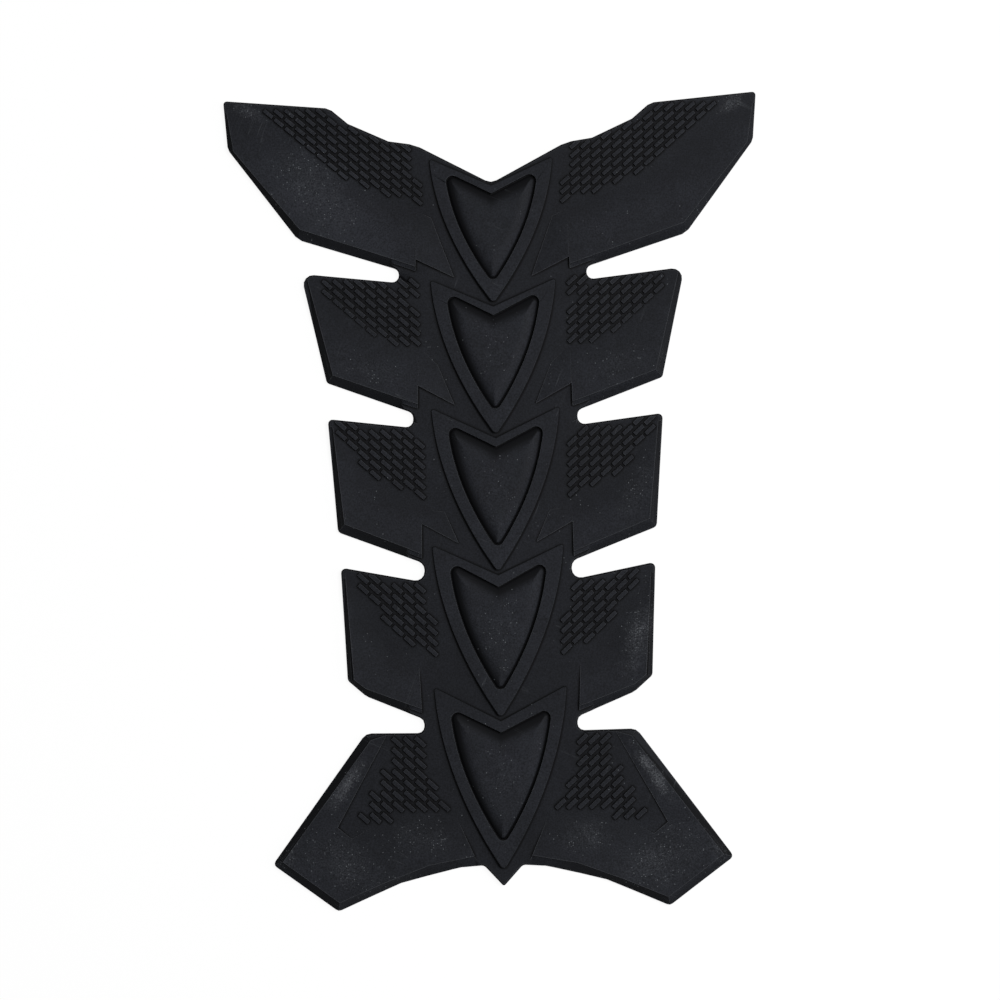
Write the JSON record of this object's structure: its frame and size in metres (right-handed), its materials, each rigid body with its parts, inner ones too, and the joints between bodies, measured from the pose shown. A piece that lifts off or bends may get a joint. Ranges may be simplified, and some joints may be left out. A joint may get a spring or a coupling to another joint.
{
  "type": "motorcycle tank pad",
  "caption": "Moulded rubber tank pad with a flat back, winged outline, a spine of overlapping domed shields and fields of small raised bricks.",
  "frame": {"origin": "centre of the flat back that sticks to the tank", "axes": "+Z out of the back, +Y along the spine towards the wide top wings, +X across the wings"},
  "size_m": [0.1444, 0.2202, 0.0034],
  "materials": {
    "black_rubber": "satin moulded rubber with dusty haze"
  },
  "bodies": {
    "root": {"tank_pad": "black_rubber"}
  },
  "joints": []
}
